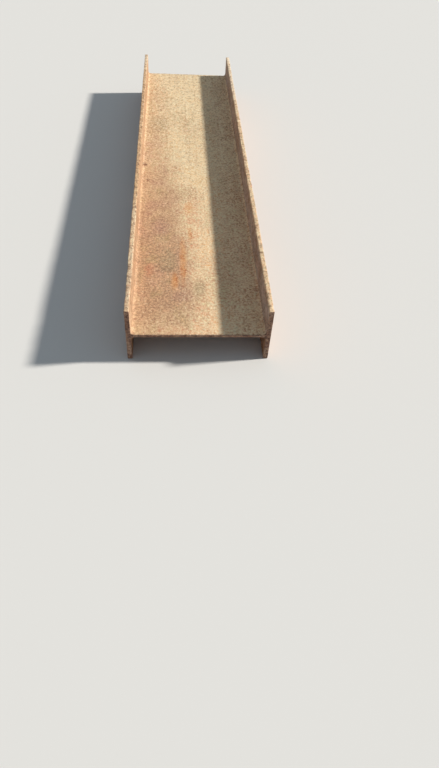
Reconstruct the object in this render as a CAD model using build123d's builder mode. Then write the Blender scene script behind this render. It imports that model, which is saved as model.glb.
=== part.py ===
"""A rolled steel wide-flange I-beam: one offcut of stock, lying on its flange toes with its web level.

The frame is the beam as it lies on a level floor: +Z is up, +Y runs along the beam, and +X runs
across it from flange to flange. The origin is on the floor, under the middle of the beam.
"""

import os

from build123d import *

# The rolled section, in millimetres: a W410 x 67 shape, which is W16 x 45 in inches and pounds
section_depth = 410.0  # over the outer faces of the two flanges
flange_width = 179.0  # from toe to toe
flange_thickness = 14.4
web_thickness = 8.8
root_radius = 10.2  # rolled fillet between the web and each flange
toe_radius = 2.5  # rolled corner of a flange toe

# The offcut
beam_length = 1900.0
cut_edge_radius = 0.8  # the cut ends' edges, dulled by rust

# The two troughs, above and below the web
trough_width = section_depth - 2 * flange_thickness
trough_depth = (flange_width - web_thickness) / 2

with BuildPart() as i_beam:
    # The section stands in the XZ plane, with its lower toes on the floor
    with BuildSketch(Plane.XZ) as section:
        with Locations((0, flange_width / 2)):
            Rectangle(section_depth, flange_width)
        with Locations((0, trough_depth / 2), (0, flange_width - trough_depth / 2)):
            Rectangle(trough_width, trough_depth, mode=Mode.SUBTRACT)

        # The corners lie at four heights: lower toes, web underside, web top and upper toes
        _, web_underside, web_top, _ = section.vertices().group_by(Axis.Y)
        fillet(web_underside + web_top, radius=root_radius)

        corners_by_height = section.vertices().group_by(Axis.Y)
        fillet(corners_by_height[0] + corners_by_height[-1], radius=toe_radius)
    extrude(amount=beam_length / 2, both=True)

    # The saw's square cuts, one at each end
    edges_by_station = i_beam.edges().group_by(Axis.Y)
    fillet(edges_by_station[0] + edges_by_station[-1], radius=cut_edge_radius)

i_beam.part.label = "i_beam"

os.makedirs("parts", exist_ok=True)
export_step(i_beam.part, "parts/i_beam.step")

print(f"volume {i_beam.part.volume / 1e9:.5f} m3, faces {len(i_beam.part.faces())}")
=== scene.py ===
"""A rusted length of rolled steel I-beam, lying on a pale studio floor.

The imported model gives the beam's place and size. A denser closed mesh of the same rolled section
stands in for its solid, so that rust can work on it: pitted faces, flaked scale, nicked flange toes
and weathered cut ends. Lengths are in metres: +Y runs along the beam, +X across it and +Z up.
"""

from math import ceil, cos, dist, pi, radians, sin

import bmesh
import bpy
import numpy as np
from mathutils import Matrix, Vector, noise
from mathutils.geometry import delaunay_2d_cdt


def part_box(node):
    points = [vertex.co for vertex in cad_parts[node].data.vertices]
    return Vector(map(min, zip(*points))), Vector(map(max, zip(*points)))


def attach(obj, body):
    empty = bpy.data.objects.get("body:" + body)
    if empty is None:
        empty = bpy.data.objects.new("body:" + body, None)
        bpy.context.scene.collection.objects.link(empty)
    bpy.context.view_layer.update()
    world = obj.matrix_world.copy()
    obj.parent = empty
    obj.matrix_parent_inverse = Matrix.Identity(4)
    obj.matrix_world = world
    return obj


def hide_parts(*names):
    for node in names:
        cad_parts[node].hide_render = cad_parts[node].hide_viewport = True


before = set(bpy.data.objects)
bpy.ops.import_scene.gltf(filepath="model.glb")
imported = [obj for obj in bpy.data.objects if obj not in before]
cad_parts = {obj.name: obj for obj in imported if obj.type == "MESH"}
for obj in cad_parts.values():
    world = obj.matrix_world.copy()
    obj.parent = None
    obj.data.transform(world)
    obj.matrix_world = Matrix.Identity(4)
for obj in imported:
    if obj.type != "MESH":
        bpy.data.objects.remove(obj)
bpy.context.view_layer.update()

# The rolled section. Its overall depth, width and length come from the frame
beam_low, beam_high = (Vector(corner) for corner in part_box("i_beam"))
half_depth = (beam_high.x - beam_low.x) / 2
half_width = (beam_high.z - beam_low.z) / 2
half_length = (beam_high.y - beam_low.y) / 2
web_height = (beam_low.z + beam_high.z) / 2
flange_thickness = 0.0144
half_web = 0.0088 / 2
root_radius = 0.0102
toe_radius = 0.0025
inner_face = half_depth - flange_thickness  # from the beam's middle to a flange's inner face
root_start = inner_face - root_radius  # where the web's flat face ends

# Mesh spacing
web_step = 0.0072
inner_step = 0.0065
outer_step = 0.0085
toe_step = 0.0032
root_steps = 5
toe_arc_steps = 3
station_step = 0.0049
end_station_step = 0.0026
end_zone = 0.026  # closer stations over this length at each end
cap_step = 0.0031
cap_margin = 0.0030

# Wear, as depths into the surface and the spans over which it changes
swell_depth = 0.00022
swell_span = 0.08
pit_depth = 0.00055
pit_spacing = 0.013
scale_height = 0.00035
scale_span = 0.045
nick_depth = 0.0013
nick_width = 0.010
nick_length = 0.019
toe_reach = 0.0075  # how far down a flange's faces its toe's wear reaches
cut_roughness = 0.0006
cut_span = 0.012
edge_radius_min = 0.0006  # the worn edge of a cut, where it is sharpest
edge_radius_max = 0.0016
edge_span = 0.02

# Stains on the web: across, along, half width, half length, strength and colour
orange, red, umber = (214, 148, 92), (190, 122, 92), (142, 98, 74)
tan, dun, mauve, olive = (229, 184, 144), (192, 154, 120), (182, 138, 118), (158, 140, 108)
stains = (
    (-0.004, -0.370, 0.026, 0.170, 0.85, tan),
    (-0.034, -0.185, 0.050, 0.060, 0.75, dun),
    (-0.016, -0.285, 0.016, 0.040, 0.75, orange),
    (-0.015, -0.450, 0.008, 0.050, 0.60, orange),
    (-0.040, -0.600, 0.012, 0.120, 0.85, orange),
    (-0.067, -0.712, 0.012, 0.045, 0.90, orange),
    (-0.116, -0.420, 0.030, 0.055, 0.60, mauve),
    (-0.045, -0.771, 0.030, 0.040, 0.50, mauve),
    (-0.087, -0.602, 0.030, 0.060, 0.65, olive),
    (0.008, -0.746, 0.020, 0.050, 0.55, olive),
    (-0.148, -0.873, 0.034, 0.048, 0.80, dun),
    (0.018, -0.870, 0.030, 0.090, 0.60, tan),
    (-0.068, -0.930, 0.045, 0.022, 0.70, tan),
    (-0.147, -0.650, 0.018, 0.035, 0.60, red),
    (-0.135, 0.384, 0.045, 0.070, 0.45, olive),
    (-0.180, 0.021, 0.009, 0.012, 1.0, umber),
    (-0.166, -0.099, 0.006, 0.009, 1.0, umber),
)


def smooth_step(low, high, value):
    """0 at low, 1 at high and a smooth rise between them."""
    share = np.clip((value - low) / (high - low), 0.0, 1.0)
    return share * share * (3.0 - 2.0 * share)


def straight(start, end, normal, step):
    """Rows of x, z and outward normal along a flat stretch, without its last point."""
    count = max(1, round(dist(start, end) / step))
    shares = np.arange(count)[:, None] / count
    points = np.array(start) + shares * (np.array(end) - np.array(start))
    return np.hstack([points, np.tile(normal, (count, 1))])


def rounded(centre, radius, start, end, count, hollow):
    """Rows of x, z and outward normal along a round stretch, without its last point."""
    angles = np.radians(start + np.arange(count) / count * (end - start))
    spokes = np.column_stack([np.cos(angles), np.sin(angles)])
    return np.hstack([np.array(centre) + radius * spokes, -spokes if hollow else spokes])


def quarter_outline():
    """The section's upper right quarter, from the middle of the web to the middle of the flange."""
    root = (root_start, half_web + root_radius)
    inner_toe = (inner_face + toe_radius, half_width - toe_radius)
    outer_toe = (half_depth - toe_radius, half_width - toe_radius)
    return np.vstack(
        [
            straight((0, half_web), (root_start, half_web), (0, 1), web_step),
            rounded(root, root_radius, -90, 0, root_steps, hollow=True),
            straight((inner_face, root[1]), (inner_face, inner_toe[1]), (-1, 0), inner_step),
            rounded(inner_toe, toe_radius, 180, 90, toe_arc_steps, hollow=False),
            straight((inner_toe[0], half_width), (outer_toe[0], half_width), (0, 1), toe_step),
            rounded(outer_toe, toe_radius, 90, 0, toe_arc_steps, hollow=False),
            straight((half_depth, outer_toe[1]), (half_depth, 0), (1, 0), outer_step),
            [(half_depth, 0, 1, 0)],
        ]
    )


def section_outline():
    """The whole section as a closed loop of x, z and outward normal, from its four like quarters."""
    quarter = quarter_outline()
    below = quarter * (1, -1, 1, -1)
    opposite = -quarter
    beside = quarter * (-1, 1, -1, 1)
    return np.vstack([quarter[:-1], below[::-1][:-1], opposite[:-1], beside[::-1][:-1]])


def stations():
    """Distances along the beam of the section's rings, as far as the worn edges of its ends."""
    last = half_length - 2 * edge_radius_max
    inner = half_length - end_zone
    ends = np.linspace(inner, last, ceil((last - inner) / end_station_step) + 1)
    middle = np.linspace(-inner, inner, round(2 * inner / station_step) + 1)
    return np.concatenate([-ends[::-1][:-1], middle, ends[1:]])


def ring(outline, along, inset):
    """Points of one ring, with the section shrunk by each point's own inset."""
    flat = outline[:, :2] - outline[:, 2:] * np.reshape(inset, (-1, 1))
    return np.column_stack([flat[:, 0], np.broadcast_to(along, len(outline)), flat[:, 1]])


def edge_radii(outline):
    """The radius to which a cut's edge has worn, at each point of the section."""
    spots = [Vector((x, 0, z)) / edge_span for x, z, _, _ in outline]
    roundness = np.array([smooth_step(-0.5, 0.6, noise.noise(spot)) for spot in spots])
    return edge_radius_min + (edge_radius_max - edge_radius_min) * roundness


def edge_rings(outline, radii, side):
    """The rings of one end's worn edge, from the beam's faces to the cut face."""
    return [
        ring(outline, side * (half_length - radii * (1 - sin(turn))), radii * (1 - cos(turn)))
        for turn in (0, pi / 4, pi / 2)
    ]


def beam_rings(outline):
    """Every ring of the section, from the near cut face to the far one."""
    radii = edge_radii(outline)
    near = edge_rings(outline, radii, -1)
    far = edge_rings(outline, radii, 1)
    return near[::-1] + [ring(outline, along, 0) for along in stations()] + far


def toe_share(height):
    """1 on a flange's toe, falling to 0 a few millimetres down its faces."""
    return smooth_step(half_width - toe_reach, half_width - toe_radius, np.abs(height))


def outer_share(points):
    """1 on the section's outermost faces, where rust may not stand proud, and 0 on the faces between."""
    across, up = np.abs(points[:, 0]), np.abs(points[:, 2])
    beside = smooth_step(half_depth - toe_radius, half_depth, across)
    return np.maximum(beside, smooth_step(half_width - toe_radius, half_width, up))


def pits(point):
    """Round pits of many sizes: 0 on sound surface, and up to 1 at the middle of the largest."""
    distances, centres = noise.voronoi(point / pit_spacing)
    size = abs(noise.cell(centres[0] * 7.3))
    rim = 0.15 + 0.35 * size
    return size * smooth_step(rim, 0.02, distances[0])


def flaked_scale(point):
    """Raised patches of rust scale with broken edges: 0 beside them and 1 on top."""
    return smooth_step(0.16, 0.24, noise.fractal(point / scale_span + Vector((11, 4, 7)), 0.9, 2.1, 4))


def nicks(point):
    """Bites that rust and handling took out of an edge."""
    spot = Vector((point.x / nick_width, point.y / nick_length, point.z / nick_width))
    return smooth_step(0.18, 0.48, noise.noise(spot))


def wear(base):
    """Each point's pit and scale shares, and how far its surface has moved along its normal."""
    points = [Vector(point) for point in base]
    from_end = half_length - np.abs(base[:, 1])
    toe = toe_share(base[:, 2])
    pit = np.array([pits(point) for point in points]) * smooth_step(0.0, 0.008, from_end)
    nick = np.array([nicks(point) for point in points]) * smooth_step(0.002, 0.010, from_end)
    scale = np.array([flaked_scale(point) for point in points])
    swell = np.array([noise.fractal(point / swell_span, 1.0, 2.0, 3) for point in points])
    height = swell_depth * swell + scale_height * (scale - 0.5)
    height -= (swell_depth + 0.5 * scale_height) * outer_share(base)
    height -= pit_depth * pit * (1.0 - 0.5 * toe) + nick_depth * nick * toe
    return pit, scale, height


def side_faces(ring_count, count):
    """The faces between neighbouring rings of count points each."""
    faces = []
    for j in range(ring_count - 1):
        for i in range(count):
            after = (i + 1) % count
            faces.append((j * count + i, j * count + after, (j + 1) * count + after, (j + 1) * count + i))
    return faces


def cap_interior():
    """Points over a cut face, inside its outline."""
    rows = []
    count_z = round(2 * half_width / cap_step)
    count_x = round(2 * half_depth / cap_step)
    for i in range(count_x + 1):
        for k in range(count_z + 1):
            x = -half_depth + (i + 0.5 * (k % 2)) * cap_step
            z = -half_width + k * cap_step
            in_flange = inner_face + cap_margin < abs(x) < half_depth - cap_margin
            in_flange = in_flange and abs(z) < half_width - cap_margin
            in_web = abs(x) <= inner_face + cap_margin and abs(z) < half_web - cap_margin
            if in_flange or in_web:
                rows.append((x, z))
    return rows


def cap(edge_points, first_edge_index, next_index, side):
    """The extra points and the triangles that close one end, over the ring of its worn edge."""
    edge = [Vector((x, z)) for x, _, z in edge_points]
    interior = [Vector(point) for point in cap_interior()]
    count = len(edge)
    sides = [(i, (i + 1) % count) for i in range(count)]
    flat, _, triangles, sources, _, _ = delaunay_2d_cdt(edge + interior, sides, [], 1, 1e-7)
    index_of = {}
    extra = []
    for i, source in enumerate(sources):
        if source and source[0] < count:
            index_of[i] = first_edge_index + source[0]
        else:
            index_of[i] = next_index + len(extra)
            spot = Vector((flat[i].x, side * half_length, flat[i].y))
            bite = cut_roughness * (0.5 + 0.5 * noise.fractal(spot / cut_span, 0.8, 2.0, 3))
            extra.append((spot.x, side * (half_length - max(bite, 0.0)), spot.z))
    return extra, [[index_of[i] for i in triangle] for triangle in triangles]


def add_attribute(mesh, name, values):
    """Keeps one number for each point of the mesh, for the material to read."""
    attribute = mesh.attributes.new(name, "FLOAT", "POINT")
    attribute.data.foreach_set("value", np.asarray(values, dtype=np.float32))


def beam_mesh():
    """The worn beam as one closed mesh, with its wear kept as attributes for the material."""
    outline = section_outline()
    count = len(outline)
    rings = beam_rings(outline)
    points = np.vstack(rings)
    normals = np.tile(outline[:, 2:], (len(rings), 1))
    pit, scale, height = wear(points)
    points[:, 0] += normals[:, 0] * height
    points[:, 2] += normals[:, 1] * height

    last_ring = len(points) - count
    near_extra, near_faces = cap(points[:count], 0, len(points), -1)
    far_extra, far_faces = cap(points[last_ring:], last_ring, len(points) + len(near_extra), 1)
    extra = np.array(near_extra + far_extra)

    everything = np.vstack([points, extra])
    everything[:, 2] += web_height
    mesh = bpy.data.meshes.new("worn_beam")
    mesh.from_pydata(everything.tolist(), [], side_faces(len(rings), count) + near_faces + far_faces)

    from_end = half_length - np.abs(everything[:, 1])
    add_attribute(mesh, "pit", np.append(pit, np.zeros(len(extra))))
    add_attribute(mesh, "scale", np.append(scale, np.ones(len(extra))))
    add_attribute(mesh, "toe", toe_share(everything[:, 2] - web_height))
    add_attribute(mesh, "cut", smooth_step(0.0022, 0.0004, from_end))
    return mesh


def turn_outward(piece):
    """Makes every face of a closed mesh look outward."""
    shape = bmesh.new()
    shape.from_mesh(piece.data)
    bmesh.ops.recalc_face_normals(shape, faces=shape.faces)
    shape.to_mesh(piece.data)
    shape.free()


def make_beam(material):
    """The visible beam, in place of its plain solid."""
    mesh = beam_mesh()
    beam = bpy.data.objects.new("worn_beam", mesh)
    bpy.context.scene.collection.objects.link(beam)
    turn_outward(beam)
    mesh.shade_smooth()
    mesh.materials.append(material)
    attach(beam, "root")
    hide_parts("i_beam")


def srgb(red, green, blue):
    """A colour written as 0 to 255 display values, as the linear values that a shader takes."""
    shares = [value / 255 for value in (red, green, blue)]
    return [s / 12.92 if s <= 0.04045 else ((s + 0.055) / 1.055) ** 2.4 for s in shares] + [1.0]


class Recipe:
    """The nodes of a material or world, added by calls that take and give sockets."""

    def __init__(self, owner):
        owner.use_nodes = True
        self.tree = owner.node_tree

    def fill(self, made, inputs):
        """Sets a node's inputs to plain values, or links sockets to them."""
        for key, value in inputs.items():
            if isinstance(value, bpy.types.NodeSocket):
                self.tree.links.new(value, made.inputs[key])
            else:
                made.inputs[key].default_value = value

    def node(self, kind, inputs, output=0, **settings):
        """Adds a node, fills its inputs and gives an output."""
        made = self.tree.nodes.new(kind)
        for key, value in settings.items():
            setattr(made, key, value)
        self.fill(made, inputs)
        return made.outputs[output]

    def math(self, operation, first, second=0.0, third=0.0):
        """One of the plain operations on numbers."""
        return self.node("ShaderNodeMath", {0: first, 1: second, 2: third}, operation=operation)

    def times(self, first, second):
        """The product of two numbers."""
        return self.math("MULTIPLY", first, second)

    def rise(self, value, low, high, bottom=0.0, top=1.0):
        """A smooth step of value from low to high."""
        inputs = {"Value": value, "From Min": low, "From Max": high, "To Min": bottom, "To Max": top}
        return self.node("ShaderNodeMapRange", inputs, interpolation_type="SMOOTHSTEP")

    def mix(self, share, first, second, blend="MIX"):
        """Mixes two colours, each a socket or a tuple of 0 to 255 display values."""
        first, second = (srgb(*side) if isinstance(side, tuple) else side for side in (first, second))
        inputs = {0: share, 6: first, 7: second}
        return self.node("ShaderNodeMix", inputs, 2, data_type="RGBA", blend_type=blend)

    def axes(self, vector):
        """A vector's x, y and z."""
        return tuple(self.node("ShaderNodeSeparateXYZ", {"Vector": vector}).node.outputs)

    def position(self, stretch=(1, 1, 1), shift=(0, 0, 0)):
        """Object coordinates, stretched and shifted."""
        place = self.node("ShaderNodeTexCoord", {}, "Object")
        return self.node("ShaderNodeMapping", {"Vector": place, "Scale": stretch, "Location": shift})

    def noise(self, scale, detail, roughness, stretch=(1, 1, 1), shift=(0, 0, 0)):
        """Noise fixed to the object, with about scale features in a metre."""
        place = self.position(stretch, shift)
        inputs = {"Vector": place, "Scale": scale, "Detail": detail, "Roughness": roughness}
        return self.node("ShaderNodeTexNoise", inputs, "Fac")

    def attribute(self, name):
        """A number kept for each point of the mesh."""
        return self.node("ShaderNodeAttribute", {}, "Fac", attribute_name=name)


class RustRecipe(Recipe):
    """A recipe with the places, wear and noises that the layers of rust share."""

    def __init__(self, owner):
        super().__init__(owner)
        self.x, self.y, self.z = self.axes(self.position())
        facing = self.node("ShaderNodeTexCoord", {}, "Normal")
        self.upward = self.rise(self.axes(facing)[2], 0.3, 0.8)
        self.toe = self.attribute("toe")
        self.cut = self.attribute("cut")
        self.pit = self.attribute("pit")
        self.scale = self.attribute("scale")

        # From hand-sized patches to grains of rust
        self.patches = self.noise(8.0, 4.0, 0.6, (1.0, 0.5, 1.0))
        self.hues = self.noise(17.0, 3.0, 0.6, (1.0, 0.6, 1.0), (9, 2, 6))
        self.blotches = self.noise(38.0, 3.0, 0.65, (1.0, 0.8, 1.0), (3, 1, 4))
        self.specks = self.noise(85.0, 4.0, 0.7, (1.0, 0.6, 1.0), (5, 6, 7))
        self.grain = self.noise(140.0, 6.0, 0.72, shift=(1, 5, 9))
        self.flecks = self.noise(150.0, 2.0, 0.5, (1.0, 0.7, 1.0), (2, 8, 3))
        self.pitting = self.rise(self.noise(230.0, 2.0, 0.55, shift=(4, 7, 2)), 0.40, 0.32)
        self.grit = self.noise(620.0, 3.0, 0.65, shift=(6, 2, 1))


# The layers of rust. Each takes the recipe as r


def brownness(r):
    """How brown the web is: from 0 at its far end and right side to 1 in patches towards the near left."""
    drift = r.math("MULTIPLY_ADD", r.math("MAXIMUM", r.y, -0.55), 0.09, r.x)
    leftward = r.rise(drift, -0.015, -0.125)
    nearward = r.rise(r.y, 0.90, -0.60, 0.45, 1.05)
    at_cut = r.rise(r.y, -0.80, -0.96, 0.0, 0.35)
    brown = r.math("SUBTRACT", r.times(leftward, nearward), at_cut)
    brown = r.math("MULTIPLY_ADD", r.patches, 1.5, r.math("SUBTRACT", brown, 0.75))
    brown = r.math("MULTIPLY_ADD", r.blotches, 0.8, r.math("SUBTRACT", brown, 0.38))
    return r.math("MINIMUM", r.math("MAXIMUM", brown, 0.0), 1.0)


def web_rust(r, brown_share):
    """Sandy or brown rust with mauve and olive blotches; on the right, painted shade as a darker mottle.
    """
    sandy = r.mix(r.rise(r.y, 0.20, -0.70), (240, 213, 170), (245, 211, 168))
    brown = r.mix(r.rise(r.y, -0.20, -0.60), (200, 162, 127), (189, 150, 117))
    colour = r.mix(brown_share, sandy, brown)
    # Painted shade: a darker, coarser mottle over the web's right strip, where the right flange's shadow
    # falls
    shade_mottle = r.rise(r.math("MULTIPLY_ADD", r.blotches, 0.4, r.grain), 0.74, 0.60, 0.0, 0.40)
    colour = r.mix(r.times(shade_mottle, r.rise(r.x, 0.05, 0.14)), colour, (182, 150, 120))
    mottle = r.math("MULTIPLY_ADD", brown_share, 0.35, 0.10)
    colour = r.mix(r.times(r.rise(r.hues, 0.52, 0.66), mottle), colour, (192, 148, 122))
    return r.mix(r.times(r.rise(r.hues, 0.48, 0.34), mottle), colour, (176, 150, 108))


def inner_rust(r, streaks):
    """The flanges' inner faces as lit and shaded copies of one rust: warm and streaked left, greyer right.
    """
    hue = r.rise(r.hues, 0.38, 0.62)
    # Painted light and shade: a warm sunlit copy with streaks on the left face, a greyer shaded copy on
    # the right
    left = r.mix(hue, (190, 156, 124), (174, 134, 101))
    left = r.mix(r.rise(streaks, 0.46, 0.68, 0.0, 0.45), left, (212, 182, 152))
    right = r.mix(hue, (186, 166, 152), (168, 141, 124))
    return r.mix(r.rise(r.x, -0.05, 0.05), left, right)


def outer_rust(r, streaks):
    """The outer and lower faces: deep rust with streaks in some places, and old scale."""
    colour = r.mix(r.rise(r.patches, 0.36, 0.64), (166, 123, 92), (137, 98, 76))
    colour = r.mix(r.rise(r.blotches, 0.50, 0.68, 0.0, 0.45), colour, (184, 134, 94))
    streaked = r.rise(r.hues, 0.44, 0.60, 0.15, 1.0)
    pale = r.times(r.rise(streaks, 0.50, 0.68, 0.0, 0.45), streaked)
    dark = r.times(r.rise(streaks, 0.46, 0.32, 0.0, 0.40), streaked)
    colour = r.mix(pale, colour, (190, 151, 115))
    colour = r.mix(dark, colour, (112, 80, 64))
    old_scale = r.math("MULTIPLY_ADD", r.grain, 3.0, r.math("SUBTRACT", r.scale, 1.5))
    return r.mix(r.rise(old_scale, 0.10, 1.20, 0.0, 0.55), colour, (112, 84, 72))


def side_rust(r):
    """The rust of the faces that don't look up."""
    streaks = r.noise(70.0, 4.0, 0.68, (1.0, 1.0, 0.12), (2, 4, 6))
    outside = r.rise(r.math("ABSOLUTE", r.x), half_depth - 0.0030, half_depth - 0.0004)
    below = r.rise(r.z, web_height, web_height - 0.008)
    return r.mix(r.math("MAXIMUM", outside, below), inner_rust(r, streaks), outer_rust(r, streaks))


def with_stains(r, colour):
    """Adds the stains on the web, frayed at their edges."""
    for across, along, width, length, strength, stain in stains:
        far_x = r.math("DIVIDE", r.math("SUBTRACT", r.x, across), width)
        far_y = r.math("DIVIDE", r.math("SUBTRACT", r.y, along), length)
        reach = r.math("MULTIPLY_ADD", far_x, far_x, r.times(far_y, far_y))
        reach = r.math("MULTIPLY_ADD", r.blotches, 2.4, r.math("SUBTRACT", reach, 1.2))
        reach = r.math("MULTIPLY_ADD", r.grain, 1.6, r.math("SUBTRACT", reach, 0.8))
        colour = r.mix(r.times(r.rise(reach, 1.8, -0.6, 0.0, strength), r.upward), colour, stain)
    return colour


def with_roll_lines(r, colour, brown_share):
    """Adds faint lines along the beam, left by the rolls and hidden where it is brown."""
    lengthwise = r.noise(95.0, 2.0, 0.55, (1.0, 0.02, 1.0), (3, 5, 8))
    share = r.times(r.math("MULTIPLY_ADD", r.upward, 0.75, 0.25), r.rise(brown_share, 1.2, 0.1))
    pale = r.times(r.rise(lengthwise, 0.52, 0.75, 0.0, 0.20), share)
    dark = r.times(r.rise(lengthwise, 0.48, 0.28, 0.0, 0.18), share)
    colour = r.mix(pale, colour, (242, 216, 174))
    return r.mix(dark, colour, (190, 146, 110))


def with_toes(r, colour):
    """Adds the upper toes: cream, but ochre along the left one's middle and tan at its near corner."""
    place = r.math("MULTIPLY_ADD", r.x, -3.0, r.math("MULTIPLY_ADD", r.patches, -1.2, r.y))
    cream = r.mix(r.rise(r.x, -0.1, 0.1), (236, 211, 178), (234, 200, 160))
    rust = r.mix(r.rise(place, -0.35, -1.00), (212, 171, 130), cream)
    rust = r.mix(r.rise(r.math("ADD", r.x, r.y), 0.40, 0.85), rust, (240, 214, 182))
    corner = r.times(r.rise(r.y, -0.86, -0.92, 0.0, 0.6), r.rise(r.x, 0.1, -0.1))
    rust = r.mix(corner, rust, (196, 152, 114))
    dark = r.times(r.rise(r.specks, 0.54, 0.36), r.rise(r.y, 0.60, -0.30, 0.36, 0.70))
    rust = r.mix(dark, rust, (128, 98, 80))
    above_web = r.rise(r.z, web_height, half_width + web_height)
    return r.mix(r.times(r.toe, above_web), colour, rust)


def with_cut_ends(r, colour):
    """Adds the cut faces, dark and crusted with the saw's lines, and a frayed dark line round them."""
    to_end = r.math("SUBTRACT", half_length, r.math("ABSOLUTE", r.y))
    frayed = r.rise(r.math("MULTIPLY_ADD", r.grain, 0.016, to_end), 0.0125, 0.0065, 0.0, 0.65)
    colour = r.mix(frayed, colour, (112, 84, 68))
    rust = r.mix(r.rise(r.blotches, 0.4, 0.6), (166, 134, 114), (136, 102, 84))
    saw_lines = r.noise(700.0, 2.0, 0.5, (1.0, 1.0, 0.03), (8, 3, 2))
    rust = r.mix(r.rise(saw_lines, 0.46, 0.34, 0.0, 0.5), rust, (86, 62, 52))
    crust = r.noise(150.0, 4.0, 0.7, shift=(7, 1, 3))
    rust = r.mix(r.rise(crust, 0.50, 0.38, 0.0, 0.75), rust, (62, 46, 42))
    rust = r.mix(r.rise(crust, 0.56, 0.68, 0.0, 0.55), rust, (204, 176, 138))
    return r.mix(r.cut, colour, rust)


def with_grain(r, colour, brown_share):
    """Adds light and dark grain, pale flecks, coarser specks towards the far end, and pits."""
    tone = r.math("MULTIPLY_ADD", r.grit, 0.30, r.rise(r.grain, 0.30, 0.70, -0.06, 0.36))
    tone = r.math("MULTIPLY_ADD", r.blotches, 0.42, tone)
    colour = r.mix(1.0, colour, tone, "OVERLAY")
    bleached = r.times(r.upward, r.math("MULTIPLY_ADD", brown_share, -0.30, 0.55))
    colour = r.mix(r.times(r.rise(r.flecks, 0.56, 0.70), bleached), colour, (254, 234, 198))
    dark = (124, 86, 62)
    farther = r.times(r.upward, r.rise(r.y, -0.40, 0.50, 0.0, 0.34))
    colour = r.mix(r.times(r.rise(r.specks, 0.50, 0.36), farther), colour, dark)
    colour = r.mix(r.times(r.rise(r.specks, 0.50, 0.66), farther), colour, (255, 246, 218))
    rough = r.times(r.rise(r.hues, 0.35, 0.65, 0.15, 0.50), r.rise(r.y, -0.85, 0.0, 0.60, 1.0))
    colour = r.mix(r.times(r.rise(r.flecks, 0.42, 0.28), rough), colour, dark)
    colour = r.mix(r.times(r.pitting, rough), colour, dark)
    return r.mix(r.times(r.pit, 0.45), colour, dark)


def fine_relief(r):
    """Normals for relief finer than the mesh. Its heights are in millimetres."""
    height = r.math("MULTIPLY_ADD", r.grit, 0.5, r.times(r.grain, 2.0))
    height = r.math("MULTIPLY_ADD", r.pitting, -0.5, height)
    return r.node("ShaderNodeBump", {"Strength": 1.0, "Distance": 0.001, "Height": height})


def rusted_steel():
    """Weathered rust: sandy where it is bleached, browner in patches and pitted all over."""
    material = bpy.data.materials.new("rusted_steel")
    r = RustRecipe(material)
    brown_share = brownness(r)
    colour = r.mix(r.upward, side_rust(r), web_rust(r, brown_share))
    colour = with_stains(r, colour)
    colour = with_roll_lines(r, colour, brown_share)
    colour = with_toes(r, colour)
    colour = with_cut_ends(r, colour)
    colour = with_grain(r, colour, brown_share)
    surface = {
        "Base Color": colour,
        "Roughness": r.rise(r.grain, 0.3, 0.7, 0.95, 0.75),
        "Specular IOR Level": 0.25,
        "Normal": fine_relief(r),
    }
    r.fill(r.tree.nodes["Principled BSDF"], surface)
    return material


def floor_paint():
    """Matt pale paint."""
    material = bpy.data.materials.new("floor_paint")
    r = Recipe(material)
    surface = {"Base Color": srgb(230, 228, 224), "Roughness": 0.9, "Specular IOR Level": 0.1}
    r.fill(r.tree.nodes["Principled BSDF"], surface)
    return material


def make_floor():
    """A wide pale floor under the beam."""
    reach = 30.0
    mesh = bpy.data.meshes.new("floor")
    corners = [(-reach, -reach, 0), (reach, -reach, 0), (reach, reach, 0), (-reach, reach, 0)]
    mesh.from_pydata(corners, [], [(0, 1, 2, 3)])
    mesh.materials.append(floor_paint())
    floor = bpy.data.objects.new("floor", mesh)
    floor.location.z = beam_low.z
    bpy.context.scene.collection.objects.link(floor)


def make_key_light():
    """A soft key from the right and a little from behind, as seen by the camera."""
    key = bpy.data.lights.new("key", "SUN")
    key.energy = 4.35
    key.angle = radians(4.5)
    key.color = (1.0, 0.96, 0.90)
    lamp = bpy.data.objects.new("key", key)
    elevation = radians(32.5)
    turned_back = radians(6)
    toward = Vector((cos(elevation) * cos(turned_back), cos(elevation) * sin(turned_back), sin(elevation)))
    lamp.rotation_euler = toward.to_track_quat("Z", "Y").to_euler()
    bpy.context.scene.collection.objects.link(lamp)


def make_world():
    """An even, slightly blue fill all round. The camera, gloss and glass see a pale backdrop instead."""
    world = bpy.data.worlds.new("studio")
    r = Recipe(world)
    sky = r.tree.nodes["Background"]
    r.fill(sky, {"Color": (0.76, 0.88, 1.0, 1.0), "Strength": 0.30})
    backdrop = r.node("ShaderNodeBackground", {"Color": srgb(228, 228, 226)})
    paths = r.node("ShaderNodeLightPath", {}).node.outputs
    seen = paths["Is Camera Ray"]
    for kind in ("Is Glossy Ray", "Is Transmission Ray"):
        seen = r.math("MAXIMUM", seen, paths[kind])
    both = r.node("ShaderNodeMixShader", {0: seen, 1: sky.outputs["Background"], 2: backdrop})
    r.fill(r.tree.nodes["World Output"], {"Surface": both})
    bpy.context.scene.world = world


def make_camera():
    """The photograph's viewpoint: held over the near end, looking down along the beam."""
    picture_height = 768
    focal_pixels = 580.3
    sensor = 36.0
    place = (-0.067, -2.144, 1.212)
    yaw, pitch, roll = radians(6.47), radians(47.76), radians(4.46)

    data = bpy.data.cameras.new("camera")
    data.sensor_width = sensor
    data.lens = focal_pixels / picture_height * sensor
    camera = bpy.data.objects.new("camera", data)
    tilt = Matrix.Rotation(pi / 2 - pitch, 4, "X") @ Matrix.Rotation(roll, 4, "Z")
    camera.matrix_world = Matrix.Translation(place) @ Matrix.Rotation(-yaw, 4, "Z") @ tilt
    bpy.context.scene.collection.objects.link(camera)
    bpy.context.scene.camera = camera


make_beam(rusted_steel())
make_floor()
make_key_light()
make_world()
make_camera()
bpy.context.scene.view_settings.view_transform = "Standard"
